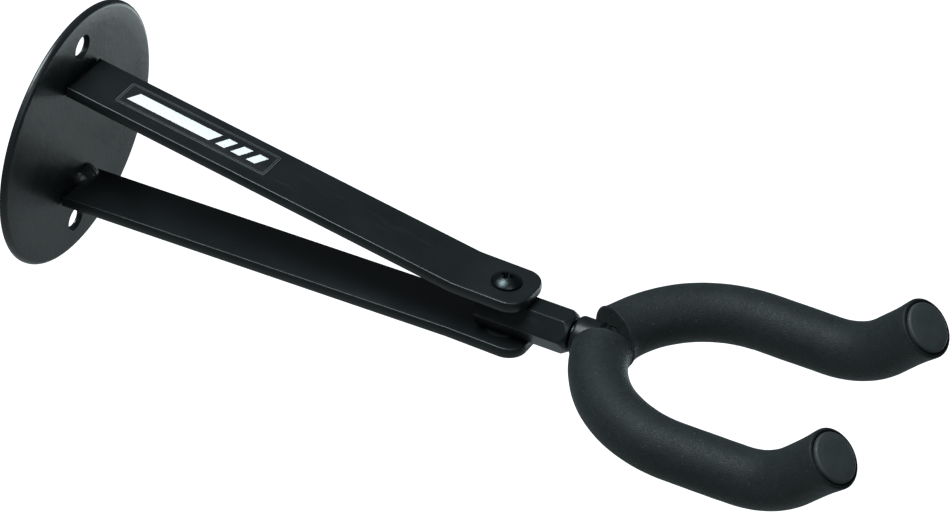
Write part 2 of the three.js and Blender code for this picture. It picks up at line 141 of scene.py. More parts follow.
def rounded(corners, radii, steps=6, closed=False):
    """The polyline through 2-D corners, each rounded to its radius."""
    count = len(corners)
    line = []
    for i, corner in enumerate(corners):
        here = Vector(corner)
        radius = radii[i]
        ends = not closed and i in (0, count - 1)
        if radius <= 0 or ends:
            line.append(here)
            continue
        back = (Vector(corners[i - 1]) - here).normalized()
        ahead = (Vector(corners[(i + 1) % count]) - here).normalized()
        half = back.angle(ahead) / 2
        if half > math.pi / 2 - 1e-3:
            line.append(here)
            continue
        centre = here + (back + ahead).normalized() * radius / math.sin(half)
        start = here + back * radius / math.tan(half) - centre
        finish = here + ahead * radius / math.tan(half) - centre
        sweep = start.angle_signed(finish)
        for k in range(steps + 1):
            turn = -sweep * k / steps
            line.append(centre + Matrix.Rotation(turn, 2) @ start)
    return line


def arc(centre, radius, start, finish, steps):
    """Points of a circular arc, angles in radians."""
    angles = [start + (finish - start) * k / steps for k in range(steps + 1)]
    return [Vector((centre[0] + radius * math.cos(a), centre[1] + radius * math.sin(a))) for a in angles]


def blend_min(a, b, width):
    """The smaller of two lengths, eased over a width where they cross."""
    ease = max(width - abs(a - b), 0) / width
    return min(a, b) - ease * ease * width / 4


def hexagon_radius(angle, flats, corner=0.5):
    """Distance from a hexagon's middle to its edge; the flats face up and down."""
    sixth = math.pi / 3
    distances = [flats / 2 / max(math.cos(angle - math.pi / 2 - k * sixth), 1e-3) for k in range(6)]
    distances = sorted(d for d in distances if d > 0)
    return blend_min(distances[0], distances[1], corner)


# ---- meshes ----


def skin(rings, wrap=False):
    """A bmesh over rings of 3-D points in millimetres; a ring of one point is a pole."""
    bm = bmesh.new()
    made = [[bm.verts.new(Vector(p) * MM) for p in ring] for ring in rings]
    pairs = list(zip(made, made[1:]))
    if wrap:
        pairs.append((made[-1], made[0]))
    for low, high in pairs:
        count = max(len(low), len(high))
        for i in range(count):
            j = (i + 1) % count
            corners = [low[i % len(low)], low[j % len(low)], high[j % len(high)], high[i % len(high)]]
            corners = list(dict.fromkeys(corners))
            if len(corners) > 2:
                bm.faces.new(corners)
    return bm


def turned(profile, segments, axis="Z"):
    """A profile of (radius, height) turned about an axis."""
    rings = []
    for radius, height in profile:
        if radius < 1e-6:
            spots = [(0, 0)]
        else:
            spots = [(radius * math.cos(TAU * i / segments), radius * math.sin(TAU * i / segments))
                     for i in range(segments)]
        rings.append([(height, u, v) if axis == "X" else (u, v, height) for u, v in spots])
    closed = (Vector(profile[0]) - Vector(profile[-1])).length < 1e-6
    return skin(rings[:-1] if closed else rings, wrap=closed)


def as_object(name, bm):
    """A plain object from a bmesh."""
    bmesh.ops.remove_doubles(bm, verts=bm.verts, dist=1e-7)
    bmesh.ops.recalc_face_normals(bm, faces=bm.faces)
    mesh = bpy.data.meshes.new(name)
    bm.to_mesh(mesh)
    bm.free()
    obj = bpy.data.objects.new(name, mesh)
    bpy.context.collection.objects.link(obj)
    return obj


def carve(obj, tool_bm):
    """Cuts a closed bmesh out of an object and throws the bmesh away."""
    tool = as_object("tool", tool_bm)
    modifier = obj.modifiers.new("carve", "BOOLEAN")
    modifier.operation = "DIFFERENCE"
    modifier.solver = "EXACT"
    modifier.object = tool
    bpy.context.view_layer.update()
    graph = bpy.context.evaluated_depsgraph_get()
    mesh = bpy.data.meshes.new_from_object(obj.evaluated_get(graph))
    obj.modifiers.remove(modifier)
    old = obj.data
    obj.data = mesh
    bpy.data.meshes.remove(old)
    bpy.data.objects.remove(tool)
    return obj


def finish_piece(obj, place, body, nodes, material, sharp=35):
    """Shades, places and gives one piece its material and body, and hides the parts it replaces."""
    mesh = obj.data
    mesh.polygons.foreach_set("use_smooth", [True] * len(mesh.polygons))
    mesh.set_sharp_from_angle(angle=math.radians(sharp))
    mesh.materials.clear()
    mesh.materials.append(material)
    obj.matrix_world = place
    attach(obj, body)
    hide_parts(*nodes)
    return obj


def roughen(bm, amount, size, seed=0):
    """Moves each vertex along its normal by smooth noise; both lengths in millimetres."""
    bm.normal_update()
    shift = Vector((seed * 7.3, seed * 3.1, seed * 5.7))
    moves = [(v, v.normal * noise.noise(v.co / (size * MM) + shift) * amount * MM) for v in bm.verts]
    for vertex, move in moves:
        vertex.co += move


# ---- materials ----


class Shader:
    """A principled material built from procedural nodes in object coordinates."""

    def __init__(self, name):
        self.material = bpy.data.materials.new(name)
        self.material.use_nodes = True
        self.nodes = self.material.node_tree.nodes
        self.links = self.material.node_tree.links
        self.surface = self.nodes["Principled BSDF"]
        self.coordinates = self.nodes.new("ShaderNodeTexCoord").outputs["Object"]

    def set(self, **values):
        for key, value in values.items():
            self.surface.inputs[key.replace("_", " ")].default_value = value
        return self

    def noise(self, size, detail=2.0, roughness=0.5, stretch=(1, 1, 1)):
        """Noise whose features are about this size in millimetres."""
        texture = self.nodes.new("ShaderNodeTexNoise")
        texture.inputs["Scale"].default_value = 1 / (size * MM)
        texture.inputs["Detail"].default_value = detail
        texture.inputs["Roughness"].default_value = roughness
        self.links.new(self.stretched(stretch), texture.inputs["Vector"])
        return texture.outputs["Fac"]

    def cells(self, size):
        """Distance to scattered points this far apart in millimetres, as a share of that."""
        texture = self.nodes.new("ShaderNodeTexVoronoi")
        texture.inputs["Scale"].default_value = 1 / (size * MM)
        texture.inputs["Randomness"].default_value = 1.0
        self.links.new(self.coordinates, texture.inputs["Vector"])
        return texture.outputs["Distance"]

    def stretched(self, stretch):
        """Object coordinates, scaled along each axis."""
        if tuple(stretch) == (1, 1, 1):
            return self.coordinates
        mapping = self.nodes.new("ShaderNodeMapping")
        mapping.inputs["Scale"].default_value = stretch
        self.links.new(self.coordinates, mapping.inputs["Vector"])
        return mapping.outputs["Vector"]

    def span(self, value, low, high, to_low=0.0, to_high=1.0):
        """value from low..high, carried to to_low..to_high and clamped."""
        node = self.nodes.new("ShaderNodeMapRange")
        node.clamp = True
        for key, number in (("From Min", low), ("From Max", high), ("To Min", to_low), ("To Max", to_high)):
            node.inputs[key].default_value = number
        self.links.new(value, node.inputs["Value"])
        return node.outputs["Result"]

    def math(self, operation, a, b=None):
        node = self.nodes.new("ShaderNodeMath")
        node.operation = operation
        for slot, value in zip(node.inputs, (a, b)):
            if value is None:
                continue
            if isinstance(value, (int, float)):
                slot.default_value = value
            else:
                self.links.new(value, slot)
        return node.outputs["Value"]

    def mix(self, share, first, second):
        """A colour between two colours; each is a socket or three numbers."""
        node = self.nodes.new("ShaderNodeMix")
        node.data_type = "RGBA"
        self.links.new(share, node.inputs["Factor"])
        sockets = [s for s in node.inputs if s.type == "RGBA"]
        for slot, value in zip(sockets, (first, second)):
            if isinstance(value, tuple):
                slot.default_value = (*value, 1)
            else:
                self.links.new(value, slot)
        return next(s for s in node.outputs if s.type == "RGBA")

    def drive(self, key, value):
        self.links.new(value, self.surface.inputs[key])
        return self

    def bump(self, height, depth, strength=1.0, below=None):
        """Adds relief; depth is in millimetres."""
        node = self.nodes.new("ShaderNodeBump")
        node.inputs["Strength"].default_value = strength
        node.inputs["Distance"].default_value = depth * MM
        self.links.new(height, node.inputs["Height"])
        if below is not None:
            self.links.new(below, node.inputs["Normal"])
        self.links.new(node.outputs["Normal"], self.surface.inputs["Normal"])
        return node.outputs["Normal"]


def powder_coat(name, dark, light, rough, grain, depth, specular=0.5):
    """Satin black paint: a fine orange peel, faint dust and rub marks."""
    s = Shader(name)
    broad = s.noise(22, 3)
    dust = s.span(s.noise(0.55, 1.0), 0.69, 0.76)
    rubs = s.span(s.noise(5, 4, 0.65, stretch=(0.16, 1, 1)), 0.60, 0.74)
    tint = s.mix(s.span(broad, 0.3, 0.7), dark, light)
    tint = s.mix(s.math("MULTIPLY", rubs, 0.35), tint, tuple(min(c * 2.2, 1) for c in light))
    tint = s.mix(s.math("MULTIPLY", dust, 0.3), tint, tuple(min(c * 4, 1) for c in light))
    s.drive("Base Color", tint)
    uneven = s.span(broad, 0.3, 0.7, rough - 0.04, rough + 0.04)
    s.drive("Roughness", s.math("ADD", uneven, s.math("MULTIPLY", rubs, 0.08)))
    s.set(Specular_IOR_Level=specular)
    peel = s.bump(s.noise(grain, 2.0), depth)
    s.bump(s.noise(grain * 5, 1.0), depth * 2, below=peel)
    return s.material


def gloss_paint(name, dark, light, rough):
    """Glossy black paint with a slightly uneven flow."""
    s = Shader(name)
    broad = s.noise(9, 3)
    s.drive("Base Color", s.mix(s.span(broad, 0.3, 0.7), dark, light))
    s.drive("Roughness", s.span(s.noise(3, 4), 0.3, 0.7, rough - 0.05, rough + 0.07))
    s.set(Specular_IOR_Level=0.25)
    flow = s.bump(s.noise(2.5, 2), 0.06)
    s.bump(s.noise(0.5, 1), 0.008, below=flow)
    return s.material


def steel(name, colour, rough):
    """Turned steel with faint tool marks and stains."""
    s = Shader(name)
    stain = s.span(s.noise(4, 4, 0.6), 0.35, 0.7)
    s.drive("Base Color", s.mix(stain, colour, tuple(c * 0.72 for c in colour)))
    s.drive("Roughness", s.span(s.noise(1.2, 3, stretch=(1, 1, 6)), 0.3, 0.7, rough - 0.07, rough + 0.09))
    s.set(Metallic=1.0)
    s.bump(s.noise(0.35, 2, stretch=(1, 1, 5)), 0.006)
    return s.material


def nylon(name, dark, light):
    """Moulded nylon, slightly milky."""
    s = Shader(name)
    s.drive("Base Color", s.mix(s.noise(3, 2), dark, light))
    s.drive("Roughness", s.span(s.noise(0.8, 2), 0.3, 0.7, 0.42, 0.58))
    s.set(Subsurface_Weight=0.1)
    s.bump(s.noise(0.4, 2), 0.01)
    return s.material


# Marks the foam's cut faces and the recess round the cap: the foam material paints shade there and makes them
# rougher.
CUT_SHADE_MASK = "cut_roughness_and_painted_shade"


def foam_material(name, dark, light, pore_depth, speckle=0.5):
    """Closed-cell foam: fine pores with painted shade in them, a soft bloom, a few light specks, and painted
    shade on the cut faces and in the recess round the cap.
    """
    s = Shader(name)
    broad = s.noise(14, 4, 0.6)
    mottle = s.noise(2.6, 3, 0.6)
    pores = s.cells(0.62)
    tint = s.mix(s.span(s.math("ADD", broad, mottle), 0.75, 1.25), dark, light)
    # Painted shade: where the mask is set, the cut faces and the recess round the cap darken towards a fifth
    # of the dark foam colour. The same mask also raises the roughness there.
    cut = s.nodes.new("ShaderNodeAttribute")
    cut.attribute_name = CUT_SHADE_MASK
    tint = s.mix(s.math("MULTIPLY", cut.outputs["Fac"], 0.75), tint, tuple(c * 0.2 for c in dark))
    # Painted shade in the pores: the colour darkens towards each pore's middle.
    tint = s.mix(s.span(pores, 0.0, 0.35, 0.55, 0.0), tint, tuple(c * 0.45 for c in dark))
    specks = s.span(s.noise(0.9, 0.0), 0.78, 0.84)
    tint = s.mix(s.math("MULTIPLY", specks, speckle), tint, tuple(min(c * 4, 1) for c in light))
    s.drive("Base Color", tint)
    cut_and_mouth = s.math("MULTIPLY", cut.outputs["Fac"], 0.4)
    s.drive("Roughness", s.math("ADD", s.span(mottle, 0.3, 0.7, 0.52, 0.64), cut_and_mouth))
    s.set(Specular_IOR_Level=0.2, Sheen_Weight=0.05, Sheen_Roughness=0.5)
    s.surface.inputs["Sheen Tint"].default_value = (0.8, 0.95, 1.0, 1.0)
    dimple = s.bump(s.span(pores, 0.0, 0.5), pore_depth)
    s.bump(mottle, 0.12, below=dimple)
    return s.material


def rubber_material():
    """Moulded matt rubber with a fine spark texture."""
    s = Shader("cap_rubber")
    broad = s.noise(6, 3)
    s.drive("Base Color", s.mix(s.span(broad, 0.3, 0.7), (0.025, 0.031, 0.032), (0.034, 0.041, 0.042)))
    s.drive("Roughness", s.span(s.noise(1.0, 3), 0.3, 0.7, 0.52, 0.68))
    s.set(Specular_IOR_Level=0.45)
    s.bump(s.noise(0.35, 3, 0.6), 0.03)
    return s.material


def label_material():
    """Black vinyl with a thin double outline and a plain bar with three slanted stripes."""
    s = Shader("label_vinyl")
    split = s.nodes.new("ShaderNodeSeparateXYZ")
    s.links.new(s.coordinates, split.inputs["Vector"])
    x, y = split.outputs["X"], split.outputs["Y"]

    def frame_line(inset, width, radius):
        """1 on a line that follows the label's rounded edge at this inset."""
        half_x = (LABEL_LENGTH / 2 - inset - radius) * MM
        half_y = (LABEL_WIDTH / 2 - inset - radius) * MM
        out_x = s.math("MAXIMUM", s.math("SUBTRACT", s.math("ABSOLUTE", x), half_x), 0.0)
        out_y = s.math("MAXIMUM", s.math("SUBTRACT", s.math("ABSOLUTE", y), half_y), 0.0)
        square = s.math("ADD", s.math("MULTIPLY", out_x, out_x), s.math("MULTIPLY", out_y, out_y))
        reach = s.math("SQRT", square)
        distance = s.math("ABSOLUTE", s.math("SUBTRACT", reach, radius * MM))
        return s.span(distance, width * 0.35 * MM, width * 0.65 * MM, 1.0, 0.0)

    lean = s.math("SUBTRACT", x, s.math("MULTIPLY", y, 0.45))

    def slab(start, finish, half_height=3.1):
        """1 inside a slanted bar."""
        middle = (start + finish) / 2 * MM
        half = (finish - start) / 2 * MM
        along = s.math("SUBTRACT", half, s.math("ABSOLUTE", s.math("SUBTRACT", lean, middle)))
        across = s.math("SUBTRACT", half_height * MM, s.math("ABSOLUTE", y))
        return s.span(s.math("MINIMUM", along, across), -0.00006, 0.00006)

    bars = [slab(-29.5, 8.0), slab(11.0, 15.0), slab(18.0, 22.0), slab(25.0, 29.0)]
    printed = bars[0]
    for bar in bars[1:]:
        printed = s.math("MAXIMUM", printed, bar)
    worn = s.span(s.noise(0.7, 3, 0.7), 0.30, 0.36)
    printed = s.math("MULTIPLY", printed, worn)
    lines = s.math("MAXIMUM", frame_line(0.35, 0.30, 1.0), frame_line(1.15, 0.22, 0.6))
    base = s.mix(s.span(s.noise(8, 3), 0.3, 0.7), (0.006, 0.007, 0.008), (0.011, 0.012, 0.013))
    base = s.mix(s.math("MULTIPLY", lines, 0.8), base, (0.10, 0.11, 0.115))
    base = s.mix(printed, base, (0.80, 0.81, 0.82))
    s.drive("Base Color", base)
    s.drive("Roughness", s.span(s.noise(5, 3), 0.3, 0.7, 0.33, 0.43))
    s.bump(s.noise(3.5, 2), 0.03)
    return s.material


PLATE_COAT = powder_coat("plate_powder_coat", (0.008, 0.0095, 0.010), (0.012, 0.014, 0.015),
                         0.30, 0.5, 0.02, 0.4)
ARM_COAT = powder_coat("arm_powder_coat", (0.0062, 0.0078, 0.0084), (0.0092, 0.0112, 0.0120),
                       0.36, 0.7, 0.014, 0.4)
WELD_COAT = powder_coat("weld_powder_coat", (0.008, 0.010, 0.011), (0.012, 0.014, 0.015), 0.34, 0.9, 0.03)
BLOCK_PAINT = powder_coat("block_paint", (0.006, 0.0075, 0.008), (0.009, 0.011, 0.012), 0.32, 0.6, 0.012, 0.4)
HUB_PAINT = gloss_paint("hub_paint", (0.007, 0.008, 0.009), (0.012, 0.014, 0.015), 0.36)
SCREW_STEEL = steel("black_oxide", (0.038, 0.046, 0.049), 0.33)
ZINC = steel("zinc_plate", (0.56, 0.57, 0.58), 0.32)
NYLON = nylon("natural_nylon", (0.62, 0.60, 0.54), (0.74, 0.72, 0.66))
BLACK_NYLON = nylon("black_nylon", (0.010, 0.011, 0.012), (0.016, 0.017, 0.018))
FOAM = foam_material("closed_cell_foam", (0.0115, 0.0145, 0.0150), (0.0160, 0.0200, 0.0210), 0.10)
RUBBER = rubber_material()
VINYL = label_material()

# ---- wall plate ----


def build_plate():
    inner_rim = PLATE_RADIUS - 2.0
    corners = [
        (0, PLATE_BACK), (inner_rim - 0.9, PLATE_BACK), (inner_rim - 0.2, 0),
        (PLATE_RADIUS, 0), (PLATE_RADIUS, PLATE_FACE), (0, PLATE_FACE),
    ]
    profile = rounded(corners, [0, 0.5, 0.25, 0.5, 2.1, 0], steps=8)
    profile[-1:-1] = [Vector((r, PLATE_FACE)) for r in (46.0, 20.0)]
    obj = as_object("plate", turned(profile, 192, "X"))
    for side in (1, -1):
        sink = PLATE_FACE - (SINK_RADIUS - HOLE_RADIUS) - 0.1
        mouth = (SINK_RADIUS + 0.35, PLATE_FACE + 0.2)
        corners = [(0, -2), (HOLE_RADIUS, -2), (HOLE_RADIUS, sink), (SINK_RADIUS, PLATE_FACE - 0.02), mouth,
                   (mouth[0], 6), (0, 6)]
        tool = turned(rounded(corners, [0, 0, 0.5, 0.3, 0, 0, 0], steps=4), 64, "X")
        bmesh.ops.translate(tool, verts=tool.verts, vec=(0, 0, side * HOLE_OFFSET * MM))
        carve(obj, tool)
    return finish_piece(obj, BRACKET_PLACE, "bracket", ["wall_plate"], PLATE_COAT, 30)


# ---- arms ----

ARM_ROOT_X = PLATE_FACE + 0.1


def arm_slope(arm):
    return math.atan2(arm["tip"] - arm["root"], ARM_BEND_X - PLATE_FACE)


def arm_bend(arm):
    """(length of the sloping run, reach of the bend, slope)."""
    slope = arm_slope(arm)
    reach = ARM_BEND_RADIUS * math.tan(abs(slope) / 2)
    run = (ARM_BEND_X - ARM_ROOT_X) / math.cos(slope) - reach
    return run, reach, slope


def on_arm(arm, along, height):
    """(x, z) of a point this far along the bar's middle line and this high above it."""
    run, reach, slope = arm_bend(arm)
    root_z = arm["root"] + (ARM_ROOT_X - PLATE_FACE) * math.tan(slope)
    bend = ARM_BEND_RADIUS * abs(slope)
    if along <= run:
        x, z, tilt = ARM_ROOT_X + along * math.cos(slope), root_z + along * math.sin(slope), slope
    elif along <= run + bend:
        side = math.copysign(1, slope)
        tilt = slope * (1 - (along - run) / bend)
        centre_x = ARM_BEND_X + reach
        x = centre_x - side * ARM_BEND_RADIUS * math.sin(tilt)
        z = arm["tip"] - side * ARM_BEND_RADIUS * (1 - math.cos(tilt))
    else:
        x, z, tilt = ARM_BEND_X + reach + (along - run - bend), arm["tip"], 0.0
    return x - height * math.sin(tilt), z + height * math.cos(tilt)


def offset_ring(outline, inset, height):
    """A closed 2-D outline moved inwards, as 3-D points at a height."""
    count = len(outline)
    ring = []
    for i, here in enumerate(outline):
        back = (here - outline[i - 1]).normalized()
        ahead = (outline[(i + 1) % count] - here).normalized()
        inward = Vector((-back.y, back.x)) + Vector((-ahead.y, ahead.x))
        inward = inward.normalized()
        stretch = 1 / max(inward.dot(Vector((-ahead.y, ahead.x))), 0.5)
        spot = here + inward * inset * stretch
        ring.append((spot.x, spot.y, height))
    return ring


def slab(outline, edge):
    """A flat bar over an outline; edge lists (inset, height) from its underside to its top."""
    bm = skin([offset_ring(outline, inset, height) for inset, height in edge])
    bm.verts.ensure_lookup_table()
    count = len(outline)
    total = len(bm.verts)
    bm.faces.new([bm.verts[i] for i in range(count)])
    bm.faces.new([bm.verts[i] for i in range(total - count, total)])
    return bm


def arm_edge():
    """The rolled bar's edge: a crowned side between two small roundings."""
    half = ARM_THICKNESS / 2
    crown = 0.42
    side = [(crown * (k / 4) ** 2, half * k / 4) for k in range(-4, 5)]
    corners = [(1.6, -half), *side, (1.6, half)]
    radii = [0, 0.55, *[0] * (len(side) - 2), 0.55, 0]
    return [(p.x, p.y) for p in rounded(corners, radii, steps=5)]


def build_arm(name, node, arm):
    run, reach, slope = arm_bend(arm)
    bend = ARM_BEND_RADIUS * abs(slope)
    length = run + bend + arm["end"] - ARM_BEND_X - reach
    half = ARM_WIDTH / 2
    corners = [(0, -half), (length, -half), (length, half), (0, half)]
    outline = rounded(corners, [0.6, ARM_CORNER, ARM_CORNER, 0.6], steps=12, closed=True)
    bm = slab(outline, arm_edge())
    cuts = [run * k / 8 for k in range(1, 8)] + [run + bend * k / 8 for k in range(9)]
    for along in cuts:
        geometry = bm.verts[:] + bm.edges[:] + bm.faces[:]
        bmesh.ops.bisect_plane(bm, geom=geometry, plane_co=(along * MM, 0, 0), plane_no=(1, 0, 0), dist=1e-8)
    for vertex in bm.verts:
        x, z = on_arm(arm, vertex.co.x / MM, vertex.co.z / MM)
        vertex.co.x, vertex.co.z = x * MM, z * MM
    obj = as_object(name, bm)
    drill = turned([(0, -60), (ARM_HOLE, -60), (ARM_HOLE, 60), (0, 60)], 48)
    bmesh.ops.translate(drill, verts=drill.verts, vec=(PIVOT.x, 0, 0))
    carve(obj, drill)
    return finish_piece(obj, BRACKET_PLACE, "bracket", [node], ARM_COAT, 30)


def build_arm_weld(name, node, arm, side, start, finish, leg):
    """A fillet bead of overlapping ripples in the corner between an arm and the plate."""
    x, z = on_arm(arm, 0, side * ARM_THICKNESS / 2)
    steps = 56
    around = 28
    rings = []
    for k in range(steps + 1):
        u = 2 * k / steps - 1
        swell = max(1 - abs(u) ** 2.4, 0) ** 0.5
        y = start + (finish - start) * k / steps
        ripple = 1 + 0.02 * math.sin(y * 2.3)
        radius = leg * swell * ripple
        if radius < 0.05:
            rings.append([(x, y, z)])
            continue
        ring = []
        for i in range(around):
            angle = TAU * i / around
            ring.append((x - 0.4 + radius * math.cos(angle), y + 0.35 * math.cos(angle * 2),
                         z - side * 0.4 + radius * 0.92 * math.sin(angle)))
        rings.append(ring)
    bm = skin(rings)
    keep = PLATE_FACE - 0.7
    for vertex in bm.verts:
        vertex.co.x = max(vertex.co.x, keep * MM)
        depth = (z - side * 1.6) * MM
        vertex.co.z = max(vertex.co.z, depth) if side > 0 else min(vertex.co.z, depth)
    roughen(bm, 0.3, 4.0, seed=side + 2)
    obj = as_object(name, bm)
    return finish_piece(obj, BRACKET_PLACE, "bracket", [node], WELD_COAT, 60)


def build_label():
    half_x, half_y = LABEL_LENGTH / 2, LABEL_WIDTH / 2
    corners = [(-half_x, -half_y), (half_x, -half_y), (half_x, half_y), (-half_x, half_y)]
    outline = rounded(corners, [1.2] * 4, steps=6, closed=True)
    bm = slab(outline, [(0, 0), (0, 0.1), (0.06, 0.17), (0.16, 0.2)])
    obj = as_object("label", bm)
    slope = arm_slope(UPPER_ARM)
    along = (LABEL_X - ARM_ROOT_X) / math.cos(slope)
    x, z = on_arm(UPPER_ARM, along, ARM_THICKNESS / 2 + 0.01)
    place = Matrix.Translation((x * MM, LABEL_Y * MM, z * MM)) @ Matrix.Rotation(-slope, 4, "Y")
    return finish_piece(obj, place, "bracket", ["blank_label"], VINYL, 30)


# ---- clamp ----

HEAD_SEAT = UPPER_ARM["tip"] + ARM_THICKNESS / 2 + 0.05
HEAD_RADIUS = 6.05
HEAD_HEIGHT = 3.6
THREAD_RADIUS = 3.0
THREAD_PITCH = 1.0
CLAMP_UNDERSIDE = LOWER_ARM["tip"] - ARM_THICKNESS / 2
SCREW_END = HEAD_SEAT - 32.2
WASHER_TOP = CLAMP_UNDERSIDE - 0.1
WASHER_THICKNESS = 0.8
NUT_TOP = WASHER_TOP - WASHER_THICKNESS - 0.1
NUT_HEIGHT = 2.8
NUT_COLLAR_HEIGHT = 1.2
NUT_FLATS = 10.0


def thread_rings(low, high, segments):
    """A helical V thread between two heights, fading at its lower end."""
    steps = int((high - low) / THREAD_PITCH * 12)
    rings = []
    for k in range(steps + 1):
        z = low + (high - low) * k / steps
        fade = min((z - low) / 0.8, 1)
        ring = []
        for i in range(segments):
            phase = (z / THREAD_PITCH - i / segments) % 1
            tooth = abs(2 * phase - 1)
            radius = THREAD_RADIUS - 0.55 * (1 - tooth) - 0.5 * (1 - fade)
            angle = TAU * i / segments
            ring.append((radius * math.cos(angle), radius * math.sin(angle), z))
        rings.append(ring)
    return rings


def wing(length, width, depth, foot_length, foot_width, top):
    """One tapered bar of a cross recess."""
    rings = []
    for half_x, half_y, z in ((foot_length, foot_width, top - depth), (length, width, top + 1.2)):
        rings.append([(half_x, half_y, z), (-half_x, half_y, z), (-half_x, -half_y, z), (half_x, -half_y, z)])
    return skin([[(0, 0, top - depth - 0.05)], *rings, [(0, 0, top + 1.2)]])


def build_clamp_screw():
    segments = 72
    top = HEAD_SEAT + HEAD_HEIGHT
    edge = 0.9
    rise = HEAD_HEIGHT - edge
    dome = (HEAD_RADIUS ** 2 + rise ** 2) / (2 * rise)
    rim = math.asin((HEAD_SEAT + edge - (top - dome)) / dome)
    corners = [(THREAD_RADIUS, WASHER_TOP), (THREAD_RADIUS, HEAD_SEAT), (HEAD_RADIUS, HEAD_SEAT)]
    crown = [tuple(p) for p in arc((0, top - dome), dome, rim, math.pi / 2, 16)][:-1]
    profile = rounded([*corners, *crown, (0, top)], [0, 0, 0.35, 0.6, *[0] * len(crown)], steps=5)
    rings = [[(0, 0, SCREW_END)], *thread_rings(SCREW_END, WASHER_TOP - 0.5, segments)]
    for radius, height in profile:
        if radius < 1e-6:
            rings.append([(0, 0, height)])
            continue
        rings.append([(radius * math.cos(TAU * i / segments), radius * math.sin(TAU * i / segments), height)
                      for i in range(segments)])
    obj = as_object("clamp_screw_piece", skin(rings))
    for turn in (0, math.pi / 2):
        tool = wing(3.7, 0.95, 2.5, 0.95, 0.42, top)
        bmesh.ops.rotate(tool, verts=tool.verts, matrix=Matrix.Rotation(turn, 3, "Z"))
        carve(obj, tool)
    carve(obj, turned([(0, top - 3.0), (0.9, top - 2.4), (1.75, top + 1.0), (0, top + 1.0)], 24))
    return finish_piece(obj, CLAMP_PLACE, "bracket", ["clamp_screw"], SCREW_STEEL, 32)


def ring_piece(name, node, place, body, material, inner, outer, low, high, axis="Z", edge=0.2):
    """A washer with eased edges."""
    corners = [(inner, low), (outer, low), (outer, high), (inner, high)]
    profile = rounded(corners, [edge] * 4, steps=4, closed=True)
    obj = as_object(name, turned([*profile, profile[0]], 80, axis))
    return finish_piece(obj, place, body, [node], material, 40)


def build_nut():
    """A chamfered hexagon with a round collar that holds the insert."""
    segments = 144
    low = NUT_TOP - NUT_HEIGHT
    end = low - NUT_COLLAR_HEIGHT
    bore = THREAD_RADIUS + 0.06
    corner = NUT_FLATS / math.sqrt(3)

    def hex_ring(radius_limit, z):
        ring = []
        for i in range(segments):
            angle = TAU * i / segments
            radius = blend_min(hexagon_radius(angle, NUT_FLATS, 0.3), radius_limit, 0.15)
            ring.append((radius * math.cos(angle), radius * math.sin(angle), z))
        return ring

    def round_ring(radius, z):
        return [(radius * math.cos(TAU * i / segments), radius * math.sin(TAU * i / segments), z)
                for i in range(segments)]

    rings = [round_ring(bore, NUT_TOP), round_ring(NUT_FLATS / 2 - 0.4, NUT_TOP)]
    chamfer = [(NUT_FLATS / 2 - 0.15 + (corner + 0.3 - NUT_FLATS / 2) * k / 8, 0.6 * k / 8) for k in range(9)]
    rings += [hex_ring(limit, NUT_TOP - drop) for limit, drop in chamfer]
    rings += [hex_ring(limit, low + drop) for limit, drop in reversed(chamfer)]
    rings += [round_ring(4.72, low), round_ring(4.68, low - 0.1), round_ring(4.68, end + 0.5)]
    rings += [round_ring(4.68 - 0.55 * math.sin(a), end + 0.5 * (1 - math.sin(a)))
              for a in (0.4, 0.8, 1.2, 1.57)]
    rings += [round_ring(3.95, end + 0.02), round_ring(3.95, low), round_ring(bore, low)]
    obj = as_object("nut", skin(rings, wrap=True))
    return finish_piece(obj, CLAMP_PLACE, "bracket", ["clamp_nut"], ZINC, 32)


def build_clamp():
    build_clamp_screw()
    build_nut()
    high = NUT_TOP - NUT_HEIGHT - 0.1
    ring_piece("nut_collar_insert", "nut_insert", CLAMP_PLACE, "bracket", NYLON,
               THREAD_RADIUS + 0.05, 3.92, high - NUT_COLLAR_HEIGHT + 0.3, high)
    ring_piece("washer", "clamp_washer", CLAMP_PLACE, "bracket", ZINC,
               THREAD_RADIUS + 0.2, 6.25, WASHER_TOP - WASHER_THICKNESS, WASHER_TOP)
    centre = PIVOT.z / MM
    for name, node, side in (("friction_top", "upper_friction_washer", 1),
                             ("friction_bottom", "lower_friction_washer", -1)):
        near = centre + side * (BLOCK_FLATS / 2 + 0.1)
        far = near + side * 0.45
        ring_piece(name, node, CLAMP_PLACE, "bracket", BLACK_NYLON,
                   THREAD_RADIUS + 0.1, 7.0, min(near, far), max(near, far), edge=0.1)


# ---- swivel block ----


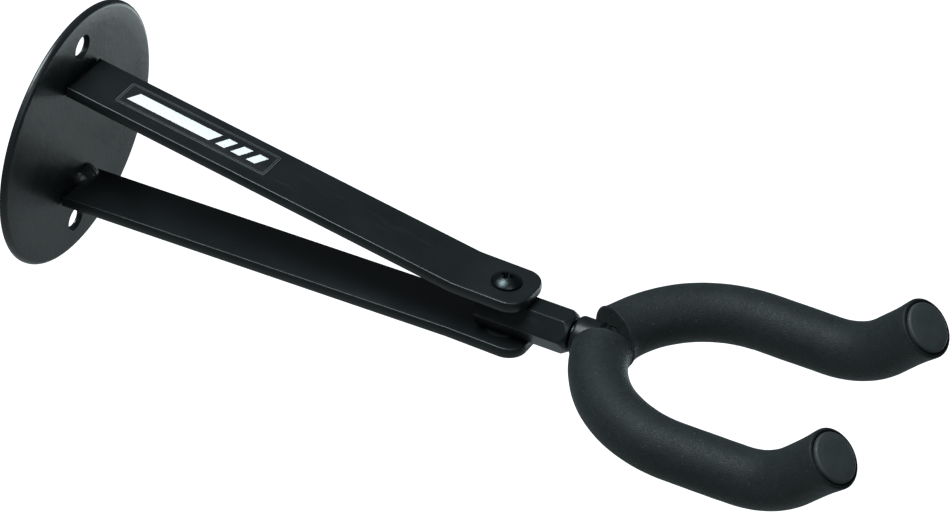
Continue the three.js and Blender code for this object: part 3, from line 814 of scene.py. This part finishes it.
def build_block():
    """A hexagonal bar whose front end is turned down to a chamfer."""
    segments = 180
    chamfer = 3.0
    corner = BLOCK_FLATS / math.sqrt(3)

    def limit(x):
        """Radius left by the turned ends at a distance along the bar."""
        front = BLOCK_FACE_RADIUS + (BLOCK_FRONT - x) / chamfer * (corner + 0.1 - BLOCK_FACE_RADIUS)
        rear = BLOCK_FLATS / 2 - 0.1 + (x - BLOCK_REAR) * 1.6
        return min(front, rear)

    def hex_ring(x):
        ring = []
        for i in range(segments):
            angle = TAU * i / segments
            radius = blend_min(hexagon_radius(angle, BLOCK_FLATS, 0.45), limit(x), 0.25)
            ring.append((x, radius * math.cos(angle), radius * math.sin(angle)))
        return ring

    def round_ring(radius, x):
        return [(x, radius * math.cos(TAU * i / segments), radius * math.sin(TAU * i / segments))
                for i in range(segments)]

    xs = [BLOCK_REAR + 0.1 + k * 0.16 for k in range(9)]
    xs += [BLOCK_REAR + 4 + k * 5.2 for k in range(6)]
    xs += [BLOCK_FRONT - chamfer - 0.6 + k * 0.17 for k in range(21)]
    rings = [[(BLOCK_REAR, 0, 0)], round_ring(BLOCK_FLATS / 2 - 0.45, BLOCK_REAR)]
    rings += [hex_ring(x) for x in xs]
    ease = [(BLOCK_FACE_RADIUS - 0.02, 0.1), (BLOCK_FACE_RADIUS - 0.2, 0.0), (STUD_BORE + 0.35, 0.0),
            (STUD_BORE + 0.1, 0.1), (STUD_BORE, 0.35)]
    rings += [round_ring(radius, BLOCK_FRONT - drop) for radius, drop in ease]
    rings += [round_ring(STUD_BORE, STUD_END - 0.6), [(STUD_END - 0.6, 0, 0)]]
    obj = as_object("block", skin(rings))
    carve(obj, turned([(0, -12), (3.1, -12), (3.1, 12), (0, 12)], 48))
    tool = turned([(0, -12), (2.5, -12), (2.5, -7.9), (2.08, -7.5), (2.08, 0), (0, 0)], 40)
    bmesh.ops.translate(tool, verts=tool.verts, vec=(GROOVE_X * MM, 0, 0))
    carve(obj, tool)
    return finish_piece(obj, BLOCK_PLACE, "block", ["swivel_block"], BLOCK_PAINT, 24)


def build_retaining_screw():
    segments = 72
    seat = -BLOCK_FLATS / 2 + 0.15

    def round_ring(radius, z):
        return [(GROOVE_X + radius * math.cos(TAU * i / segments), radius * math.sin(TAU * i / segments), z)
                for i in range(segments)]

    def socket_ring(scale, z):
        ring = []
        for i in range(segments):
            angle = TAU * i / segments
            radius = hexagon_radius(angle, 2.0, 0.08) * scale
            ring.append((GROOVE_X + radius * math.cos(angle), radius * math.sin(angle), z))
        return ring

    rings = [[(GROOVE_X, 0, -3.4)], round_ring(1.1, -3.4), round_ring(1.2, -3.5), round_ring(1.2, -4.2)]
    rings += [round_ring(2.0, -4.3), round_ring(2.0, seat + 0.25), round_ring(1.75, seat)]
    rings += [socket_ring(1.12, seat), socket_ring(1.0, seat + 0.1), socket_ring(1.0, seat + 1.3)]
    rings += [[(GROOVE_X, 0, seat + 1.6)]]
    obj = as_object("grub_screw", skin(rings))
    return finish_piece(obj, BLOCK_PLACE, "block", ["retaining_screw"], SCREW_STEEL, 32)


# ---- yoke ----

SIDE_ANGLE = math.pi / 2 - BACK_ANGLE
STRETCHES = [BACK_RADIUS * BACK_ANGLE, SIDE_RADIUS * SIDE_ANGLE, PRONG_STRAIGHT, TIP_RADIUS * TIP_ANGLE,
             TIP_STRAIGHT]
PRONG_LENGTH = sum(STRETCHES)


def prong_frame(distance):
    """(point, tangent, upward) on the yoke's middle line; negative distances are the near prong."""
    left = abs(distance)
    used = []
    for stretch in STRETCHES:
        used.append(min(max(left, 0), stretch))
        left -= stretch
    used[-1] += max(left, 0)
    back, side, straight, tip, end = used
    turn_a = back / BACK_RADIUS
    turn = turn_a + side / SIDE_RADIUS
    lift = tip / TIP_RADIUS
    x = BACK_RADIUS * (1 - math.cos(turn_a)) + SIDE_RADIUS * (math.cos(turn_a) - math.cos(turn)) + straight
    x += TIP_RADIUS * math.sin(lift) + end * math.cos(TIP_ANGLE)
    y = BACK_RADIUS * math.sin(turn_a) + SIDE_RADIUS * (math.sin(turn) - math.sin(turn_a))
    z = TIP_RADIUS * (1 - math.cos(lift)) + end * math.sin(TIP_ANGLE)
    tangent = Vector((math.sin(turn) * math.cos(lift), math.cos(turn) * math.cos(lift), math.sin(lift)))
    upward = Vector((-math.sin(turn) * math.sin(lift), -math.cos(turn) * math.sin(lift), math.cos(lift)))
    mirror = Vector((1, math.copysign(1, distance), 1))
    return Vector((x, y, z)) * mirror, tangent * mirror, upward * mirror


def tube_ring(distance, radius, around, slant=0.0, shape=None):
    """A ring round the yoke's middle line; slant leans its inner side back towards the hub."""
    centre, tangent, upward = prong_frame(distance)
    across = tangent.cross(upward) * math.copysign(1, distance)
    across = across * math.cos(slant) - tangent * math.sin(slant)
    ring = []
    for i in range(around):
        angle = TAU * i / around
        reach = radius if shape is None else shape(distance, angle, radius)
        ring.append(centre + (across * math.cos(angle) + upward * math.sin(angle)) * reach)
    return ring


def build_rod():
    end = PRONG_LENGTH - CAP_HEAD - 1.2
    rings = [[prong_frame(-end)[0]], tube_ring(-end, ROD_RADIUS - 0.5, 32)]
    steps = 160
    rings += [tube_ring(-end + 0.4 + (2 * end - 0.8) * k / steps, ROD_RADIUS, 32) for k in range(steps + 1)]
    rings += [tube_ring(end, ROD_RADIUS - 0.5, 32), [prong_frame(end)[0]]]
    obj = as_object("rod", skin(rings))
    return finish_piece(obj, YOKE_PLACE, "yoke", ["yoke_rod"], HUB_PAINT, 40)


def foam_wall(distance, angle, radius):
    """The sleeve's outer radius: slightly uneven all along."""
    spot = Vector((distance / 17, math.cos(angle) * 0.9, math.sin(angle) * 0.9))
    return radius + noise.noise(spot) * 0.16 + noise.noise(spot * 3.7) * 0.05


def build_foam(name, node, side, start, slant, flare, cut_depth, seed):
    """A foam sleeve: a slanted knife cut that flares, and a lip round the cap."""
    around = 96
    end = PRONG_LENGTH - FOAM_LIP
    bore = ROD_RADIUS + 0.15

    def swollen(distance):
        """Outer radius, wider where the sleeve was cut and where the cap spreads it."""
        at_cut = flare * math.exp(-((distance - start) / CUT_FLARE_LENGTH) ** 1.3)
        at_cap = CAP_SWELL * math.exp(-((end - distance) / CAP_SWELL_LENGTH) ** 2)
        return FOAM_RADIUS + at_cut + at_cap

    def lean(distance):
        return slant * max(1 - (distance - start) / CUT_SETTLE, 0) ** 1.5

    def cut_ring(radius, inset):
        """A ring of the cut face; its roughness only ever leads away from the other sleeve."""
        _, tangent, _ = prong_frame(side * start)
        ring = tube_ring(side * (start + inset), radius, around, lean(start + inset))
        shift = Vector((seed, 0, 0))
        return [p + tangent * (CUT_CLEARANCE + abs(noise.noise(p / 3.1 + shift)) * cut_depth) for p in ring]

    rim = swollen(start)
    rings = [cut_ring(bore, 0.6)]
    face = (bore + 0.4, 5.6, 7.0, 8.4, 9.8, rim - 1.2, rim - CUT_EDGE)
    rings += [cut_ring(radius, 0.0) for radius in face]
    face_rings = len(rings)
    for k in range(1, 5):
        angle = math.pi / 2 * k / 4
        reach = rim - CUT_EDGE + CUT_EDGE * math.sin(angle)
        rings.append(cut_ring(reach, CUT_EDGE * (1 - math.cos(angle))))
    first, last = start + 2 * CUT_EDGE, end - FOAM_LIP_EDGE
    steps = 190
    for k in range(steps + 1):
        distance = first + (last - first) * k / steps
        rings.append(tube_ring(side * distance, swollen(distance), around, lean(distance), foam_wall))
    rim = swollen(end)
    mouth = len(rings) + 3
    for k in range(1, 7):
        angle = math.pi / 2 * k / 6
        distance = last + FOAM_LIP_EDGE * math.sin(angle)
        reach = rim - FOAM_LIP_EDGE * (1 - math.cos(angle))
        rings.append(tube_ring(side * distance, reach, around, shape=foam_wall))
    room = CAP_RADIUS + 0.3
    under = PRONG_LENGTH - CAP_HEAD - 0.15
    inward = [(end - 0.25, room + 0.35), (end - 0.7, room + 0.1), (under, room), (under, 6.25),
              (end - 14.5, 6.25)]
    rings += [tube_ring(side * distance, radius, around) for distance, radius in inward]
    mouth_end = len(rings)
    deep = end - 14.8
    for k in range(51):
        rings.append(tube_ring(side * (deep + (start + 2 - deep) * k / 50), bore, around))
    bm = skin(rings, wrap=True)
    bm.verts.ensure_lookup_table()
    # The cut face and the mouth round the cap take the mask, which gives them painted shade and a rougher
    # finish in the foam material.
    mask = bm.verts.layers.float.new(CUT_SHADE_MASK)
    cut_and_mouth = [*bm.verts[:around * (face_rings - 1)], *bm.verts[around * mouth:around * mouth_end]]
    for vertex in cut_and_mouth:
        vertex[mask] = 1.0
    obj = as_object(name, bm)
    finish_piece(obj, YOKE_PLACE, "yoke", [node], FOAM, 50)
    return obj


def build_cap(name, node, side):
    """A rubber cap: a crowned face, a rolled rim and a stem down the foam."""
    stem_end = -CAP_HEAD - 12
    bore = ROD_RADIUS + 0.3
    corners = [(0, -CAP_HEAD - 1), (bore, -CAP_HEAD - 1), (bore, stem_end), (6.0, stem_end),
               (6.0, -CAP_HEAD), (CAP_RADIUS - 0.5, -CAP_HEAD), (CAP_RADIUS, -CAP_HEAD + 1.0),
               (CAP_RADIUS, -0.55), (CAP_RADIUS - 3.0, -0.16)]
    radii = [0, 0, 0, 0.5, 0.3, 0.4, 0.4, 1.15, 4.0]
    crown = [(radius, -0.16 * (radius / (CAP_RADIUS - 3.0)) ** 2) for radius in (5.0, 2.5)]
    profile = rounded([*corners, *crown, (0, 0)], [*radii, 0, 0, 0], steps=8)
    obj = as_object(name, turned(profile, 96))
    end, tangent, upward = prong_frame(side * PRONG_LENGTH)
    across = upward.cross(tangent)
    turn = Matrix((across, upward, tangent)).transposed().to_4x4()
    place = YOKE_PLACE @ Matrix.Translation(end * MM) @ turn
    return finish_piece(obj, place, "yoke", [node], RUBBER, 35)


def build_hub():
    end = STUD_END - YOKE_X
    groove = GROOVE_X - YOKE_X
    corners = [
        (0, end), (STUD_RADIUS, end), (STUD_RADIUS, groove - 1.6), (3.1, groove - 1.6), (3.1, groove + 1.6),
        (STUD_RADIUS, groove + 1.6), (STUD_RADIUS, HUB_REAR), (HUB_RADIUS, HUB_REAR),
        (HUB_RADIUS, HUB_FRONT - 0.6), (HUB_RADIUS - 1.2, HUB_FRONT + 0.6), (0, HUB_FRONT + 0.6),
    ]
    radii = [0, 0.6, 0.1, 0.1, 0.1, 0.1, 0.15, 1.5, 0.8, 0.6, 0]
    obj = as_object("hub", turned(rounded(corners, radii, steps=8), 128, "X"))
    return finish_piece(obj, YOKE_PLACE, "yoke", ["yoke_hub"], HUB_PAINT, 35)


def build_hub_weld(name, node, side):
    """A bead that runs across the hub's front, in the corner above or below the rod."""
    steps, around = 40, 24
    rings = []
    for k in range(steps + 1):
        u = 2 * k / steps - 1
        swell = max(1 - abs(u) ** 2.2, 0) ** 0.5
        y = 1.4 + 4.0 * u
        radius = 2.3 * swell * (1 + 0.06 * math.sin(y * 4.2))
        centre = (-1.9 + 0.02 * y * y, y, side * 4.2)
        if radius < 0.05:
            rings.append([centre])
            continue
        rings.append([(centre[0] + radius * math.cos(TAU * i / around), y,
                       centre[2] + radius * math.sin(TAU * i / around)) for i in range(around)])
    bm = skin(rings)
    roughen(bm, 0.3, 1.8, seed=side + 5)
    obj = as_object(name, bm)
    return finish_piece(obj, YOKE_PLACE, "yoke", [node], HUB_PAINT, 60)


# ---- the hanger ----

build_plate()
build_arm("arm_top", "upper_arm", UPPER_ARM)
build_arm("arm_bottom", "lower_arm", LOWER_ARM)
build_arm_weld("weld_top", "upper_arm_weld", UPPER_ARM, -1, -8.0, 8.0, 4.6)
build_arm_weld("weld_bottom", "lower_arm_weld", LOWER_ARM, 1, -2.6, 11.4, 6.0)
build_label()
build_clamp()
build_block()
build_retaining_screw()
ring_piece("spacer", "thrust_washer", BLOCK_PLACE, "block", SCREW_STEEL,
           STUD_BORE, THRUST_RADIUS, BLOCK_FRONT + 0.1, YOKE_X + HUB_REAR - 0.1, "X", 0.3)
build_hub()
build_rod()
build_hub_weld("hub_bead_top", "upper_hub_weld", 1)
build_hub_weld("hub_bead_bottom", "lower_hub_weld", -1)
build_foam("sleeve_far", "foam_far", 1, FOAM_FAR_START, FOAM_FAR_SLANT, 1.1, 0.5, 1.0)
build_foam("sleeve_near", "foam_near", -1, FOAM_NEAR_START, FOAM_NEAR_SLANT, 0.6, 0.3, 2.0)
build_cap("end_cap_far", "cap_far", 1)
build_cap("end_cap_near", "cap_near", -1)

# ---- stage ----

FLOOR_DROP = 1.15
FLOOR_SIZE = 24.0


def build_floor():
    """A plain pale floor, lifted to white where it is looked at directly."""
    s = Shader("pale_floor")
    s.drive("Base Color", s.mix(s.noise(900, 2), (0.86, 0.87, 0.88), (0.90, 0.90, 0.90)))
    s.drive("Emission Strength", s.nodes.new("ShaderNodeLightPath").outputs["Is Camera Ray"])
    s.set(Roughness=0.9, Specular_IOR_Level=0.1)
    s.surface.inputs["Emission Color"].default_value = (1, 1, 1, 1)
    bm = bmesh.new()
    bmesh.ops.create_grid(bm, x_segments=8, y_segments=8, size=FLOOR_SIZE / 2)
    floor = as_object("floor", bm)
    floor.data.materials.append(s.material)
    floor.location.z = cad_box[0][2] - FLOOR_DROP


def aim(direction):
    """The turn that points an object's -Z along a direction."""
    return Vector(direction).normalized().to_track_quat("-Z", "Y").to_matrix().to_4x4()


def area_light(name, direction, distance, size, power, colour):
    """A soft box that looks at the hanger's middle from a direction."""
    data = bpy.data.lights.new(name, "AREA")
    data.shape = "RECTANGLE"
    data.size, data.size_y = size
    data.energy = power
    data.color = colour
    light = bpy.data.objects.new(name, data)
    bpy.context.collection.objects.link(light)
    middle = (Vector(cad_box[0]) + Vector(cad_box[1])) / 2
    away = Vector(direction).normalized()
    light.matrix_world = Matrix.Translation(middle + away * distance) @ aim(-away)
    return light


def build_world():
    """A dim room to light by, seen as pale where the camera looks past the floor."""
    world = bpy.data.worlds.new("studio")
    bpy.context.scene.world = world
    world.use_nodes = True
    nodes, links = world.node_tree.nodes, world.node_tree.links
    room = nodes["Background"]
    room.inputs["Color"].default_value = (0.80, 0.92, 1.0, 1)
    room.inputs["Strength"].default_value = 0.10
    pale = nodes.new("ShaderNodeBackground")
    pale.inputs["Strength"].default_value = 1.0
    pale.inputs["Color"].default_value = (1, 1, 1, 1)
    choose = nodes.new("ShaderNodeMixShader")
    links.new(nodes.new("ShaderNodeLightPath").outputs["Is Camera Ray"], choose.inputs["Fac"])
    links.new(room.outputs["Background"], choose.inputs[1])
    links.new(pale.outputs["Background"], choose.inputs[2])
    links.new(choose.outputs["Shader"], nodes["World Output"].inputs["Surface"])


# The camera looks at a point on the hanger's middle from above and from its near side.
LOOK_AT = Vector((0.180, -0.0015, 0.0133))
CAMERA_DISTANCE = 2.5
CAMERA_AZIMUTH = math.radians(-64.3157)
CAMERA_ELEVATION = math.radians(35.7623)
CAMERA_ROLL = math.radians(4.8441)
CAMERA_LENS = 247.97


def build_camera():
    data = bpy.data.cameras.new("camera")
    data.lens = CAMERA_LENS
    data.sensor_width = 36
    data.clip_end = 60
    camera = bpy.data.objects.new("camera", data)
    bpy.context.collection.objects.link(camera)
    level = math.cos(CAMERA_ELEVATION)
    back = Vector((level * math.cos(CAMERA_AZIMUTH), level * math.sin(CAMERA_AZIMUTH),
                   math.sin(CAMERA_ELEVATION)))
    right = Vector((0, 0, 1)).cross(back).normalized()
    up = back.cross(right)
    leaning_right = right * math.cos(CAMERA_ROLL) + up * math.sin(CAMERA_ROLL)
    leaning_up = up * math.cos(CAMERA_ROLL) - right * math.sin(CAMERA_ROLL)
    turn = Matrix((leaning_right, leaning_up, back)).transposed().to_4x4()
    camera.matrix_world = Matrix.Translation(LOOK_AT + back * CAMERA_DISTANCE) @ turn
    bpy.context.scene.camera = camera


build_floor()
STUDIO = (0.86, 0.98, 1.0)
area_light("key_box", (-0.28, -0.22, 0.95), 1.6, (0.8, 0.8), 34, STUDIO)
area_light("fill_box", (0.75, -0.55, 0.8), 2.2, (1.2, 1.2), 9, STUDIO)
area_light("far_box", (0.26, 0.86, -0.36), 1.2, (0.8, 0.4), 3.1, STUDIO)
build_world()
build_camera()
bpy.context.scene.view_settings.view_transform = "Standard"
